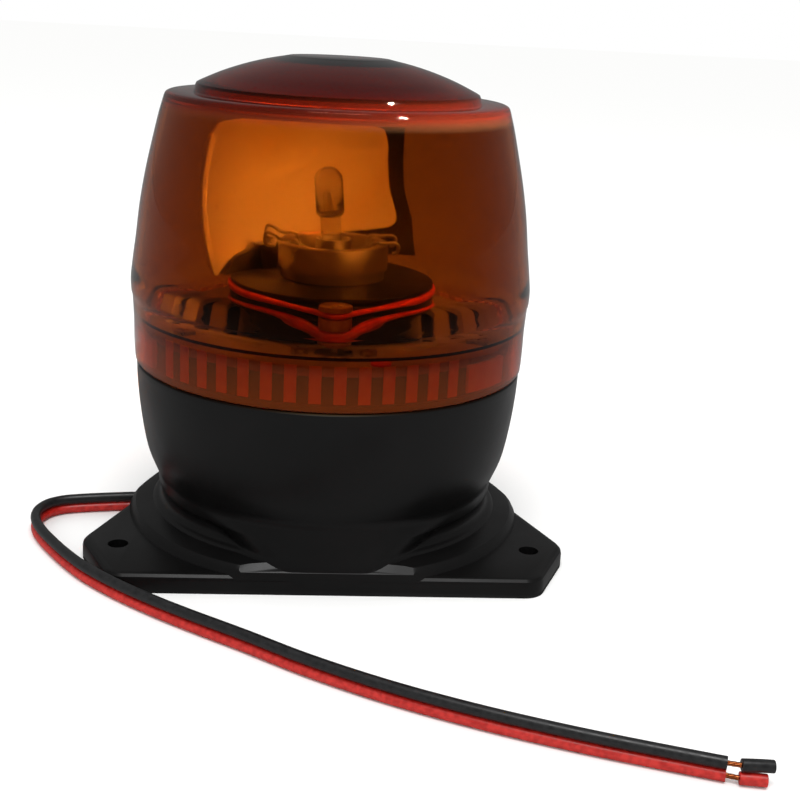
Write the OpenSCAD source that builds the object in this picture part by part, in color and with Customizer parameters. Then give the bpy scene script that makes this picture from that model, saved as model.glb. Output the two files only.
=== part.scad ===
// Amber rotating beacon on a three-ear foot, with a belt-driven reflector and a twin cable.
// The origin is the centre of the fixing-bolt circle on the bottom plane, +Z is up, -Y is the
// front and all sizes are in millimetres.

/* [Base] */
// Bolt circle diameter of the three fixing holes
bolt_pcd = 130; // [120:1:140]
// Fixing hole diameter
bolt_hole = 5.5; // [4.5:0.1:6.5]
// Rubber gasket thickness under the foot
gasket_t = 1.0; // [0.5:0.1:2]
// Height of the foot plate's top face
plate_top = 5.3; // [4:0.1:7]
// Width of the sloped edge round the foot plate
plate_bevel = 1.7; // [0.5:0.1:2.5]
// Wall of the housing bowl
bowl_wall = 2.2; // [1.6:0.1:3]

/* [Lens] */
// Outer radius of the housing collar that the lens slides over
collar_r = 50.8; // [50:0.1:51]
// Inner radius of the lens skirt
skirt_ri = 52.2; // [52:0.1:52.6]
// Radius inside the lens ribs
rib_ri = 51.9; // [51.8:0.1:52]
// Angular width of one lens rib
rib_span = 3.4; // [2:0.1:5]
// Radius inside the lens locking pads
pad_ri = 51.15; // [51.1:0.05:51.3]
// Radius over the locking lugs of the deck
lug_r = 51.55; // [51.4:0.05:51.6]

/* [Rotor and drive] */
// Distance of the motor shaft from the centre axis
motor_y = -38.2; // [-40:0.1:-36]
// Belt section diameter
belt_d = 1.9; // [1.5:0.1:2.5]
// Belt centre radius on the large pulley
rotor_belt_r = 28.3; // [26:0.1:30]
// Belt centre radius on the motor pulley
motor_belt_r = 3.25; // [3:0.05:5]
// Height of the upper belt
belt_z_up = 72.2; // [71:0.1:73]
// Height of the lower belt
belt_z_low = 67.9; // [67:0.1:69]
// Running clearance of the rotor on the stem, on the radius
run_gap = 0.05; // [0.01:0.01:0.1]

/* [Reflector and bulb] */
// Height of the bulb filament and of the reflector's focus
focus_z = 95; // [90:0.5:100]
// Focal length of the reflector
focal = 26; // [22:0.5:30]
// Direction that the reflector faces in the rest position
face_az = -60; // [-180:1:180]
// Thickness of the reflector
refl_t = 1.6; // [1:0.1:2.5]
// Lean of the bulb glass towards the left
bulb_lean = -5; // [-6:0.5:6]

/* [Cable] */
// Diameter of one insulated core
core_d = 2.8; // [2:0.1:3.5]
// Height of the red core's centre above the bottom plane
red_z = 1.45; // [1.4:0.05:1.6]
// Height of the black core's centre above the bottom plane
black_z = 4.35; // [4.3:0.05:4.6]

/* [Hidden] */
$fn = 64;
far = 200;

BLACK = [0.12, 0.11, 0.11];
RUBBER = [0.08, 0.08, 0.08];
AMBER = [0.85, 0.3, 0.05, 0.6];
GREY = [0.33, 0.33, 0.34];
BELT = [0.75, 0.2, 0.06];
CHROME = [0.85, 0.85, 0.86];
STEEL = [0.62, 0.62, 0.64];
BRASS = [0.75, 0.6, 0.3];
RED = [0.78, 0.14, 0.09];
COPPER = [0.75, 0.4, 0.22];

bolt_r = bolt_pcd / 2;
plate_z = gasket_t;
shoulder_z = 50.6;
collar_top = 59.6;
deck_top = 62.1;
cavity_r = 45.2;
stem_r = 7;
stem_bore = 5.5;
groove_r = belt_d / 2 + 0.12;
lug_az = [-40.5, 79.5, -160.5];
deck_screw_az = [-27, -153, 90];
deck_screw_r = 44;
motor_screw_x = 8.75;
can_r = 12.1;
can_half = 9.2;
can_bottom = 28.6;
cap_bottom = 26.4;
holder_z = 77.4;
holder_floor = 79;
ring_top = 84.2;
ring_ro = 15.35;
ring_ri = 12.4;
notch_y = 4.3;
notch_w = 3.4;
notch_h = 6.2;

function unit(v) = v / norm(v);
function polar(r, a) = r * [cos(a), sin(a)];
// Arc of radius r that rounds corner b between its neighbours a and c
function round_pts(a, b, c, r, n) =
    let (u = unit(a - b), v = unit(c - b), h = acos(u * v) / 2,
         k = b + unit(u + v) * r / sin(h), s = b + u * r / tan(h), e = b + v * r / tan(h),
         a0 = atan2(s.y - k.y, s.x - k.x),
         d = (atan2(e.y - k.y, e.x - k.x) - a0 + 540) % 360 - 180)
    [for (i = [0:n]) k + polar(r, a0 + d * i / n)];
function rounded(p, r, n) =
    let (m = len(p))
    [for (i = [0:m - 1]) each round_pts(p[(i + m - 1) % m], p[i], p[(i + 1) % m], r[i], n)];
function mirrored(p) = [for (i = [len(p) - 1:-1:0]) [-p[i].x, p[i].y]];

// Foot outline: one straight front edge, three ears on the bolt circle, straight sides
ear_right = [[56.35, -51.66], [66.96, -28.9], [28.5, 74]];
ear_round = [6, 8, 9];
foot = concat(ear_right, mirrored(ear_right));
foot_round = concat(ear_round, [ear_round[2], ear_round[1], ear_round[0]]);
// Sloped edges of the foot plate: direction and distance of each straight side
edge_az = [-90, -25, -2, 20.5, 58, 90, 122, 159.5, 182, 205, -119, -61];
edge_d = [51.66, 72.9, 66.3, 52.6, 78.2, 74, 78.2, 52.6, 66.3, 72.9, 73.9, 73.9];

module foot_2d() polygon(rounded(foot, foot_round, 8));

module turned(p) rotate_extrude() polygon(p);

// Part of a turned ring between two radii, two heights and two directions
module arc_block(r0, r1, z0, z1, a0, a1)
    rotate([0, 0, a0]) rotate_extrude(angle = a1 - a0) translate([r0, z0]) square([r1 - r0, z1 - z0]);

module at_bolts() for (a = [90, 210, 330]) rotate([0, 0, a]) translate([bolt_r, 0, 0]) children();

module cable_notch(h)
    translate([-far / 2 - cavity_r + 5, notch_y - notch_w / 2, -1]) cube([far / 2, notch_w, h + 1]);

// Eight-sided tube of radius r along a 3-D line; ref is any direction not along the line
module tube(p, r, ref, closed) {
    ring = 8;
    n = len(p);
    before = [for (i = [0:n - 1]) p[closed ? (i + n - 1) % n : max(i - 1, 0)]];
    after = [for (i = [0:n - 1]) p[closed ? (i + 1) % n : min(i + 1, n - 1)]];
    pts = [for (i = [0:n - 1]) let (t = unit(after[i] - before[i]), u = unit(ref - (ref * t) * t),
                                    v = cross(t, u))
        for (k = [0:ring - 1]) p[i] + r * (cos(k * 45) * u + sin(k * 45) * v)];
    sides = [for (i = [0:closed ? n - 1 : n - 2], k = [0:ring - 1])
        let (a = i * ring + k, b = i * ring + (k + 1) % ring, up = (i + 1) % n * ring - i * ring)
        each [[a, a + up, b], [b, a + up, b + up]]];
    caps = closed ? [] : [[for (k = [0:ring - 1]) k],
                          [for (k = [ring - 1:-1:0]) (n - 1) * ring + k]];
    polyhedron(pts, concat(sides, caps));
}

module base_housing() color(BLACK) difference() {
    union() {
        difference() {
            translate([0, 0, plate_z]) linear_extrude(plate_top - plate_z) foot_2d();
            for (i = [0:len(edge_az) - 1]) rotate([0, 0, edge_az[i]])
                translate([edge_d[i], 0, plate_top - plate_bevel]) rotate([0, -45, 0])
                    translate([0, -far / 2, -far / 4]) cube([far / 4, far, far]);
        }
        // Low step round the bowl, cut off along the foot's edges with a sloped front
        intersection() {
            turned([[0, plate_top - 1], [56.9, plate_top - 1], [56.9, plate_top], [56.1, 6.5],
                    [55, 7.8], [50.2, 8.6], [0, 8.6]]);
            linear_extrude(far) foot_2d();
            translate([0, -51.66, 6.3]) rotate([45, 0, 0]) translate([-far / 2, 0, -far / 2])
                cube([far, far, far]);
        }
        // Neck, bowl and collar
        intersection() {
            turned([[0, plate_z + 1], [51.8, plate_z + 1], [51.5, 6.5], [50.2, 8.6], [48.3, 9.6],
                    [47.5, 12.2], [48.3, 14], [48.6, 17.5], [49.7, 20.5], [51.4, 25], [52.5, 30],
                    [53.5, 37], [54.2, 45], [54.4, 50], [53.9, shoulder_z],
                    [collar_r, shoulder_z], [collar_r, collar_top], [0, collar_top]]);
            union() {
                linear_extrude(13) foot_2d();
                translate([0, 0, 12]) cylinder(r = 60, h = far);
            }
        }
    }
    difference() {
        turned([[0, -1], [cavity_r, -1], [cavity_r, 12.5], [46.2, 14], [46.4, 17.5], [47.5, 21],
                [49.2, 25], [50.3, 30], [51.3, 37], [52, 45], [52.1, 48.3], [collar_r - 2, 48.4],
                [collar_r - 2, collar_top + 1], [0, collar_top + 1]]);
        // Screw bosses inside the collar
        for (a = deck_screw_az) rotate([0, 0, a]) translate([deck_screw_r, 0, 46])
            cylinder(r = 5.2, h = 20);
    }
    at_bolts() translate([0, 0, -1]) cylinder(d = bolt_hole, h = 20);
    for (a = deck_screw_az) rotate([0, 0, a]) translate([deck_screw_r, 0, 48])
        cylinder(r = 1.5, h = 20);
    cable_notch(notch_h);
}

module base_gasket() color(RUBBER) difference() {
    linear_extrude(gasket_t) foot_2d();
    translate([0, 0, -1]) cylinder(r = cavity_r, h = 5);
    at_bolts() translate([0, 0, -1]) cylinder(d = bolt_hole, h = 5);
    cable_notch(3);
}

module lens() color(AMBER) {
    turned([[skirt_ri, 51.05], [54.4, 51.05], [54.9, 53.7], [55, 63], [55.4, 69.6], [55.8, 70.4],
            [55.8, 74.1], [55.5, 76.6], [54.3, 85.4], [53.2, 94.2], [51.65, 102.8],
            [49.7, 111.3], [48, 118.3], [46.7, 122.4], [45.6, 123.76], [39.1, 123.76],
            [38.3, 126.15], [32, 129], [26, 131.16], [20, 132.8], [13.5, 134.13], [0, 134.13],
            [0, 131.9], [13.5, 131.9], [20, 130.57], [28, 128.16], [36.3, 124.68],
            [37, 121.66], [44.7, 121.66], [45.5, 119.6], [47.6, 111.3], [49.55, 102.8],
            [51.1, 94.2], [52.2, 85.4], [53.5, 76.6], [53.5, 70], [52.8, 66.5],
            [skirt_ri, 63.5]]);
    // Ribs inside the skirt in three groups, with a locking pad in each gap between them
    for (g = [-142.3, -22.3, 97.7], i = [0:13])
        arc_block(rib_ri, skirt_ri + 0.4, 52.9, 62.7, g + 6.72 * i - rib_span / 2,
                  g + 6.72 * i + rib_span / 2);
    for (a = lug_az) arc_block(pad_ri, skirt_ri + 0.4, 53, 60.4, a - 8.5, a + 8.5);
}

module lens_seal() color(RUBBER)
    turned([[collar_r, shoulder_z], [51.8, shoulder_z], [51.8, 52], [51.6, 52.3],
            [collar_r, 52.3]]);

// Curved ventilation slot through the deck
module deck_slot(r0, r1, a0, a1) arc_block(r0, r1, collar_top - 1, deck_top + 1, a0, a1);

module deck_plate() color(GREY) difference() {
    union() {
        translate([0, 0, collar_top]) cylinder(r = collar_r, h = deck_top - collar_top);
        for (a = lug_az) arc_block(collar_r - 1, lug_r, 60.8, deck_top, a - 7, a + 7);
    }
    for (s = [[42, 46, -8, 32], [34, 38, -12, 31], [26, 30, -24, 28], [34, 38.5, -60, -33]]) {
        deck_slot(s[0], s[1], s[2], s[3]);
        deck_slot(s[0], s[1], 180 - s[3], 180 - s[2]);
    }
    translate([0, 0, collar_top - 1]) cylinder(r = stem_r + run_gap, h = 5);
    translate([0, motor_y, collar_top - 1]) cylinder(r = 5, h = 5);
    for (s = [-1, 1]) translate([s * motor_screw_x, motor_y, collar_top - 1])
        cylinder(r = 1.3, h = 5);
    for (a = deck_screw_az) rotate([0, 0, a]) translate([deck_screw_r, 0, collar_top - 1]) {
        cylinder(r = 1.6, h = 5);
        translate([-4.5, -4.5, 2.5]) cube([9, 9, 5]);
    }
    translate([11.4, -46.6, collar_top - 1]) cylinder(r = 2.15, h = 5);
}

module deck_screws() color(STEEL) for (a = deck_screw_az)
    rotate([0, 0, a]) translate([deck_screw_r, 0, 0]) difference() {
        union() {
            translate([0, 0, 49]) cylinder(r = 1.5, h = 12.5);
            translate([0, 0, 61.1]) cylinder(r = 2.9, h = 1.6);
        }
        translate([0, 0, 62.1]) for (t = [45, 135]) rotate([0, 0, t])
            translate([-1.9, -0.4, 0]) cube([3.8, 0.8, 2]);
    }

module deck_plug() color(BELT) translate([11.4, -46.6, 0]) {
    translate([0, 0, collar_top]) cylinder(r = 2.1, h = deck_top - collar_top + 0.1);
    translate([0, 0, deck_top]) cylinder(r = 2.6, h = 0.6);
}

module stem_tube() color(STEEL) turned([[stem_bore, 57.6], [10, 57.6], [10, collar_top],
    [stem_r, collar_top], [stem_r, holder_z], [stem_bore, holder_z]]);

module rotor_thrust_washer() color(STEEL)
    turned([[stem_r + run_gap, deck_top], [11, deck_top], [11, 62.8], [stem_r + run_gap, 62.8]]);

module rotor_retainer() color(STEEL)
    turned([[stem_r, 76.2], [9.8, 76.2], [9.8, 76.9], [stem_r, 76.9]]);

// Turned reflector surface and the offset d behind it, for the band from d1 to d0
module dish(d0, d1) translate([0, 0, focus_z]) rotate([0, 0, face_az]) rotate([0, 90, 0])
    rotate_extrude() polygon(concat(
        [for (r = [0:5:45]) [r, dish_x(r) + d1]], [for (r = [45:-5:0]) [r, dish_x(r) + d0]]));
function dish_x(r) = r * r / (4 * focal) - focal;

// Solid that covers an outline seen along the reflector's axis
module seen_from_front(p) translate([0, 0, focus_z]) rotate([0, 0, face_az])
    rotate([90, 0, 90]) translate([0, 0, -40]) linear_extrude(45) polygon(p);

function left_u(w) = 0.0068 * w * w - 33.5;
refl_left = [for (w = [17:-3:-19]) [left_u(w), w]];
refl_low = [[-30.3, -20.8], [-29.3, -21.2], [-28.7, -20.9], [-22.6, -17.5], [-14, -16.3], [0, -14.7]];
refl_right = concat(round_pts([0, -14.7], [32.3, -11.2], [29.8, 1], 3, 5), [[30.1, 0], [28.7, 12]],
                    round_pts([28.7, 12], [28.3, 18.4], [0, 20.5], 4, 6));
refl_outline = concat(refl_left, refl_low, refl_right, [[0, 20.5], [-20, 20.8], [-28.3, 20]]);

module reflector() color(CHROME) difference() {
    union() {
        intersection() { dish(-refl_t, 0); seen_from_front(refl_outline); }
        // Raised strip along the left edge
        intersection() {
            dish(-refl_t / 2, 0.7);
            seen_from_front(concat(refl_left, [for (w = [-19:3:17]) [left_u(w) + 2.3, w]]));
        }
    }
    reflector_screw_places() translate([0, 0, -1]) cylinder(r = 1.25, h = 4.6);
}

// Screw axes, with the origin on the back of the carrier and +Z towards the reflector
module reflector_screw_places() for (s = [-14, 14])
    translate([0, 0, focus_z]) rotate([0, 0, face_az]) translate([dish_x(19.1) - 4.3, s, -13])
        rotate([0, 90, 0]) children();

module reflector_screws() color(STEEL) reflector_screw_places() {
    translate([0, 0, -1.6]) cylinder(r = 2.4, h = 1.6);
    cylinder(r = 1.25, h = 3.6);
}

module rotor() color(BLACK) difference() {
    union() {
        turned([[stem_r + run_gap, 63], [10.5, 63], [10.5, 71.7], [23, 71.7], [23, 63],
                [25.5, 63], [25.5, 65.8], [28.5, 65.8], [28.5, 74.2], [10.5, 74.2], [10.5, 76],
                [stem_r + run_gap, 76]]);
        difference() {
            union() {
                // Backing band below and beside the reflector
                intersection() {
                    dish(-refl_t - 2.2, -refl_t - 0.05);
                    seen_from_front([[-30, -19.4], [-26, -20.9], [24, -20.9], [28, -19.5],
                        [36.6, -19.5], [36.6, -8.5], [34.7, 0], [33.3, 12], [32.6, 18.2],
                        [24, 18.2], [24, -6], [-20, -9.5], [-30, -12]]);
                }
                // Low arm and clip that hold the reflector's lower edge
                intersection() {
                    dish(-refl_t - 2.2, 2.2);
                    seen_from_front([[-27.3, -20.9], [-8.5, -20.9], [-8.5, -15.1],
                        [-13, -15.5], [-21.8, -16.8]]);
                }
                intersection() {
                    dish(-refl_t - 2.2, 4.2);
                    seen_from_front([[-13.5, -20.9], [-8.5, -20.9], [-8.5, -14], [-13.5, -14.5]]);
                }
                reflector_screw_places() cylinder(r = 3.4, h = 2.2);
            }
            intersection() {
                dish(-refl_t - 0.05, 0.05);
                seen_from_front(refl_outline);
            }
        }
    }
    for (z = [belt_z_up, belt_z_low]) translate([0, 0, z]) rotate_extrude()
        translate([rotor_belt_r, 0]) circle(r = groove_r);
    reflector_screw_places() translate([0, 0, -1]) cylinder(r = 1.25, h = 6);
    reflector_screw_places() translate([0, 0, -3]) cylinder(r = 2.5, h = 3);
}

// Belt centre line: an arc on each pulley, joined by the two straight runs
wrap = acos((rotor_belt_r - motor_belt_r) / -motor_y);
belt_line = concat(
    [for (i = [0:36]) polar(rotor_belt_r, wrap - 90 + (360 - 2 * wrap) * i / 36)],
    [for (i = [0:8]) [0, motor_y] + polar(motor_belt_r, -90 - wrap + 2 * wrap * i / 8)]);
module belt(z) color(BELT) tube([for (q = belt_line) [q.x, q.y, z]], belt_d / 2, [0, 0, 1], true);
module drive_belt_upper() belt(belt_z_up);
module drive_belt_lower() belt(belt_z_low);

// Round body with two flats, facing the front and the back
module motor_round(r, half, z0, z1) translate([0, motor_y, z0]) intersection() {
    cylinder(r = r, h = z1 - z0);
    translate([-far / 2, -half, 0]) cube([far, 2 * half, z1 - z0]);
}

module motor_can() color(STEEL) difference() {
    union() {
        motor_round(can_r, can_half, can_bottom, collar_top);
        translate([0, motor_y, collar_top - 1]) cylinder(r = 4.95, h = 4.1);
    }
    motor_round(can_r - 1, can_half - 1, can_bottom - 1, collar_top - 1.2);
    translate([0, motor_y, 20]) cylinder(r = 1 + run_gap, h = 60);
    for (s = [-1, 1]) translate([s * motor_screw_x, motor_y, 58]) cylinder(r = 1.25, h = 5);
}

module motor_endcap() color(BLACK) difference() {
    motor_round(can_r - 0.3, can_half - 0.3, cap_bottom, can_bottom);
    translate([0, motor_y, 20]) cylinder(r = 1 + run_gap, h = 20);
}

module motor_magnets() color(RUBBER) translate([0, motor_y, 0]) for (a = [0, 180])
    rotate([0, 0, a]) intersection() {
        difference() {
            translate([0, 0, 33]) cylinder(r = can_r - 1, h = 20);
            translate([0, 0, 32]) cylinder(r = 7.6, h = 22);
        }
        translate([0, 1 - can_half, 30]) cube([far, 2 * can_half - 2, 30]);
        translate([4, -far / 2, 30]) cube([far, far, 30]);
    }

module motor_armature() color(COPPER) translate([0, motor_y, 0]) difference() {
    union() {
        translate([0, 0, 34]) cylinder(r = 7, h = 18);
        translate([0, 0, 30]) cylinder(r = 3, h = 4);
    }
    translate([0, 0, 29]) cylinder(r = 1, h = 40);
    for (a = [30, 150, 270]) rotate([0, 0, a]) translate([4, -0.8, 33]) cube([5, 1.6, 25]);
}

module motor_shaft() color(STEEL) translate([0, motor_y, 27]) cylinder(r = 1, h = 47.4);

module motor_terminals() color(BRASS) for (s = [-1, 1])
    translate([s * 5 - 1.4, motor_y - 0.25, 22.4]) cube([2.8, 0.5, cap_bottom - 22.4]);

module motor_pulley() color(BRASS) translate([0, motor_y, 0]) difference() {
    turned([[0, 64.4], [2.6, 64.4], [2.6, 65.6], [4.3, 65.6], [4.3, 74.8], [0, 74.8]]);
    for (z = [belt_z_up, belt_z_low]) translate([0, 0, z]) rotate_extrude()
        translate([motor_belt_r, 0]) circle(r = groove_r);
    // The grooves open outwards past the belt
    for (z = [belt_z_up, belt_z_low]) translate([0, 0, z - groove_r]) difference() {
        cylinder(r = 6, h = 2 * groove_r);
        translate([0, 0, -1]) cylinder(r = motor_belt_r, h = 2 * groove_r + 2);
    }
    translate([0, 0, 60]) cylinder(r = 1, h = 14.4);
}

module motor_screws() color(STEEL) for (s = [-1, 1])
    translate([s * motor_screw_x, motor_y, 0]) difference() {
        union() {
            translate([0, 0, 58.4]) cylinder(r = 1.25, h = 4);
            translate([0, 0, deck_top]) cylinder(r = 2.3, h = 1.5);
        }
        translate([-2.5, -0.35, deck_top + 0.8]) cube([5, 0.7, 2]);
    }

module bulb_holder() color(CHROME) turned([[4.2, holder_z], [12.4, holder_z], [12.4, 74.6],
    [14.5, 74.6], [14.5, holder_z], [ring_ro, holder_z], [ring_ro, ring_top - 0.4],
    [ring_ro - 0.4, ring_top], [ring_ri + 0.3, ring_top], [ring_ri, ring_top - 0.3],
    [ring_ri, holder_floor], [4.2, holder_floor]]);

// Straight round rods through a list of points, with a ball at each bend
module rods(p, r) for (i = [0:len(p) - 2]) let (v = p[i + 1] - p[i]) {
    translate(p[i]) rotate([0, acos(v.z / norm(v)), atan2(v.y, v.x)]) cylinder(r = r, h = norm(v));
    if (i > 0) translate(p[i]) sphere(r = r, $fn = 24);
}

clip_bends = [[-16.6, 83.4], [-18.2, 83.5], [-19, 84.3], [-19, 86.3], [-18.2, 87], [-16.4, 86.4],
    [-14.4, 85.1], [-10.4, 84.9], [-7.5, 80.5], [7.5, 80.5], [10.4, 84.9], [13.4, 85],
    [16.6, 85.2], [17.8, 84.4], [17.6, 82.7], [16.2, 82.2]];
module bulb_clip() color(STEEL) {
    for (s = [-1, 1]) tube([for (q = clip_bends) [q.x, s * 5.6, q.y]], 0.5, [0, 1, 0], false);
    translate([-16.6, 6.2, 83.4]) rotate([90, 0, 0]) cylinder(r = 0.5, h = 12.4);
}

module bulb_base() color(STEEL) turned([[0, holder_floor], [7, holder_floor], [7, 80],
    [5, 80], [5, 85], [4.3, 85], [4.3, 80.4], [0, 80.4]]);

module bulb_terminal() color(BRASS) translate([-3.15, -0.4, 66]) cube([6.3, 0.8, 13]);

module leaning() translate([0, 0, 78.5]) rotate([0, bulb_lean, 0]) translate([0, 0, -78.5])
    children();

module bulb_glass() color([0.9, 0.9, 0.9, 0.4]) intersection() {
    leaning() difference() {
        union() {
            translate([-2.8, -1.5, 78]) cube([5.6, 3, 13.2]);
            translate([0, 0, 91]) cylinder(r = 4, h = 10);
            translate([0, 0, 101]) sphere(r = 4);
        }
        translate([0, 0, 91.6]) cylinder(r = 3.2, h = 9.4);
        translate([0, 0, 101]) sphere(r = 3.2);
    }
    translate([-20, -20, 80.4]) cube([40, 40, 40]);
}

module bulb_filament() color(STEEL) leaning() {
    translate([0, 0, 92.4]) cylinder(r = 0.55, h = 5.2);
    rods([[-1.6, 0, 91.6], [-1.6, 0, 97.3], [0, 0, 97.3]], 0.22);
    rods([[1.4, 0, 91.6], [1.4, 0, 92.8], [0, 0, 92.8]], 0.22);
}

module suppressor_capacitor() color(BRASS) translate([0, motor_y, 0]) {
    translate([0, 1.25, 21]) rotate([90, 0, 0]) cylinder(r = 2.8, h = 2.5);
    for (s = [-1, 1]) rods([[s * 2.4, 0, 21.6], [s * 3.3, 0, 23.4]], 0.25);
}

lead_turn = [-12, -30, 14];
lead_ref = [0.2, 0.9, -0.4];
module lead_red() color(RED) {
    tube([[-44.3, notch_y, black_z], [-42, notch_y, black_z], [-38, 2, 6], [-14, -28, 13],
          lead_turn, [-5, motor_y, 17], [-5, motor_y, 22.4]], 0.8, lead_ref, false);
    tube([lead_turn, [-3, -5, 40], [0, 0, 52], [0, 0, 66]], 0.8, lead_ref, false);
}
module lead_black() color(RUBBER) {
    tube([[-44.3, notch_y, red_z], [-42, notch_y, red_z], [-38, 0, 2.4], [-20, -22, 7],
          [5, motor_y, 14], [5, motor_y, 22.4]], 0.8, lead_ref, false);
    tube([[5, motor_y, 15], [10, -15, 30], [8.5, 0, 46], [8.5, 0, 57.6]], 0.8, lead_ref, false);
}

// Cable route on the bottom plane, from inside the housing to the stripped end
route = [[-44.3, 4.3], [-50, 4.3], [-56, 4.2], [-61, 3.6], [-66.4, 2.7], [-72, 1.6], [-76.6, 0.2],
    [-80.2, -2.6], [-82.1, -6.8], [-82.3, -11.2], [-81.3, -15.8], [-79.3, -20.6], [-76.2, -26.4],
    [-70.2, -36], [-62.9, -45.8], [-53.6, -55.4], [-43.9, -63.9], [-34.9, -71], [-26.9, -76.9],
    [-18.9, -82.8], [-7, -92], [4.5, -99.8], [15.4, -106.4], [25.9, -112], [36.2, -117],
    [46.2, -121.4], [56, -125.4], [65.8, -129.1], [75.4, -132.6], [80.2, -134.3]];

module core(z) tube([for (q = route) [q.x, q.y, z]], core_d / 2, [0, 0, 1], false);
module cable_red() color(RED) core(red_z);
module cable_black() color(RUBBER) core(black_z);

cut = route[len(route) - 1];
black_bare = cut + [2.7, -0.8];
red_bare = cut + [2.5, -1];
black_end = black_bare + [6.8, -0.5];
red_end = red_bare + [5.6, -1.1];
function at_z(p, z) = [p.x, p.y, z];

module copper_strands() color(COPPER) {
    rods([at_z(cut, red_z) + [0.02, 0, 0], at_z(red_bare, red_z) - [0.17, -0.06, 0]], 0.6);
    rods([at_z(cut, black_z) + [0.02, 0, 0], at_z(black_bare, black_z) - [0.18, -0.05, 0]], 0.6);
}
module stub_red() color(RED) rods([at_z(red_bare, red_z), at_z(red_end, red_z + 0.2)], core_d / 2);
module stub_black() color(RUBBER)
    rods([at_z(black_bare, black_z), at_z(black_end, black_z)], core_d / 2);

base_housing();
base_gasket();
lens();
lens_seal();
deck_plate();
deck_screws();
deck_plug();
stem_tube();
rotor();
rotor_thrust_washer();
rotor_retainer();
reflector();
reflector_screws();
drive_belt_upper();
drive_belt_lower();
motor_can();
motor_endcap();
motor_magnets();
motor_armature();
motor_shaft();
motor_terminals();
motor_pulley();
motor_screws();
bulb_holder();
bulb_clip();
bulb_base();
bulb_terminal();
bulb_glass();
bulb_filament();
suppressor_capacitor();
lead_red();
lead_black();
cable_red();
cable_black();
copper_strands();
stub_red();
stub_black();
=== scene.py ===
# %% [markdown]
# # An amber rotating beacon
# A fixed halogen bulb stands in a clear amber cover. A motor turns a reflector round it by two
# soft belts, so the light sweeps round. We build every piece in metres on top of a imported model
# that already says where each piece sits and what moves.

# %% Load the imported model
import math

import bmesh
import bpy
from mathutils import Matrix, Vector


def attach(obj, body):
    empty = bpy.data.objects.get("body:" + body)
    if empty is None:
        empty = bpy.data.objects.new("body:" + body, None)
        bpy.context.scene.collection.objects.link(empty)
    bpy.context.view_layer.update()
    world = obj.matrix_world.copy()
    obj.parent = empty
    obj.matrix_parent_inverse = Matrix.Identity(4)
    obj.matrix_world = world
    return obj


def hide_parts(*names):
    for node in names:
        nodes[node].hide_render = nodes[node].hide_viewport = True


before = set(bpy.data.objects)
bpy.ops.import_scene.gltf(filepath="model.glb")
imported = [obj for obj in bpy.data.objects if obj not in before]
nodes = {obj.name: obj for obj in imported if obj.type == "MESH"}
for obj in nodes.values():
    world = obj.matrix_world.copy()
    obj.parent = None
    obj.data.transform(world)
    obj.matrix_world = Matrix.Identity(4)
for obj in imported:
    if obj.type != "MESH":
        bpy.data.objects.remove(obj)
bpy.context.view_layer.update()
MM = 0.001

# %% [markdown]
# The camera comes first. It stands in front of the beacon at about its own height and looks down
# a little, with a slight roll, as a camera held in the hand does. We turn three plain angles into
# its axes, because a target to look at could not hold the roll.

# %% Camera
CAMERA_PLACE = Vector((-10.4, -354.8, 149.1)) * MM
HEADING, PAN, TILT, ROLL = -1.68, 3.39, 17.32, 3.08
LENS_MM = 57.37


def turned_axes(heading, tilt, roll):
    """Right, up and backward axes of a camera, from angles in degrees."""
    h, t, r = (math.radians(v) for v in (heading, tilt, roll))
    level = Vector((math.sin(h), math.cos(h), 0))
    right = Vector((math.cos(h), -math.sin(h), 0))
    forward = level * math.cos(t) - Vector((0, 0, math.sin(t)))
    up = level * math.sin(t) + Vector((0, 0, math.cos(t)))
    return right * math.cos(r) + up * math.sin(r), up * math.cos(r) - right * math.sin(r), -forward


camera = bpy.data.objects.new("camera", bpy.data.cameras.new("camera"))
bpy.context.scene.collection.objects.link(camera)
axes = Matrix(turned_axes(-HEADING + PAN, TILT, ROLL)).transposed()
camera.matrix_world = Matrix.Translation(CAMERA_PLACE) @ axes.to_4x4()
camera.data.lens, camera.data.sensor_width = LENS_MM, 36
camera.data.clip_start = 0.01
bpy.context.scene.camera = camera
bpy.context.scene.view_settings.view_transform = "Standard"
print("camera at", [round(v / MM, 1) for v in CAMERA_PLACE])

# %% [markdown]
# Every finish is a small node tree. Three helpers are enough: one reads a colour written as a hex
# number and makes it linear, one adds a node with its settings and links, and one starts a
# material with a Principled shader. All patterns use Object coordinates, which are real metres
# here, so a scale of 1000 means one cell per millimetre.


# %% Helpers for materials
def linear(hex_colour):
    """sRGB hex to linear RGBA."""
    parts = [int(hex_colour[i:i + 2], 16) / 255 for i in (1, 3, 5)]
    return [v / 12.92 if v <= 0.04045 else ((v + 0.055) / 1.055) ** 2.4 for v in parts] + [1.0]


def add(tree, kind, settings=None, inputs=None):
    """Add a node; inputs maps a socket to a value or to the output socket it is linked from."""
    made = tree.nodes.new(kind)
    for name, value in (settings or {}).items():
        setattr(made, name, value)
    for name, value in (inputs or {}).items():
        if isinstance(value, bpy.types.NodeSocket):
            tree.links.new(value, made.inputs[name])
        else:
            made.inputs[name].default_value = value
    return made


def finish_named(name, hex_colour, roughness, **sockets):
    """A material with a Principled shader; returns the material, its tree and the shader."""
    material = bpy.data.materials.new(name)
    material.use_nodes = True
    shader = material.node_tree.nodes["Principled BSDF"]
    shader.inputs["Base Color"].default_value = linear(hex_colour)
    shader.inputs["Roughness"].default_value = roughness
    for socket, value in sockets.items():
        shader.inputs[socket.replace("_", " ")].default_value = value
    return material, material.node_tree, shader


def noise_in(tree, per_mm, detail=3.0):
    """Noise with that many cells per millimetre on the object's own coordinates."""
    place = add(tree, "ShaderNodeTexCoord")
    return add(tree, "ShaderNodeTexNoise", inputs={
        "Vector": place.outputs["Object"], "Scale": per_mm / MM, "Detail": detail})


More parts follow.
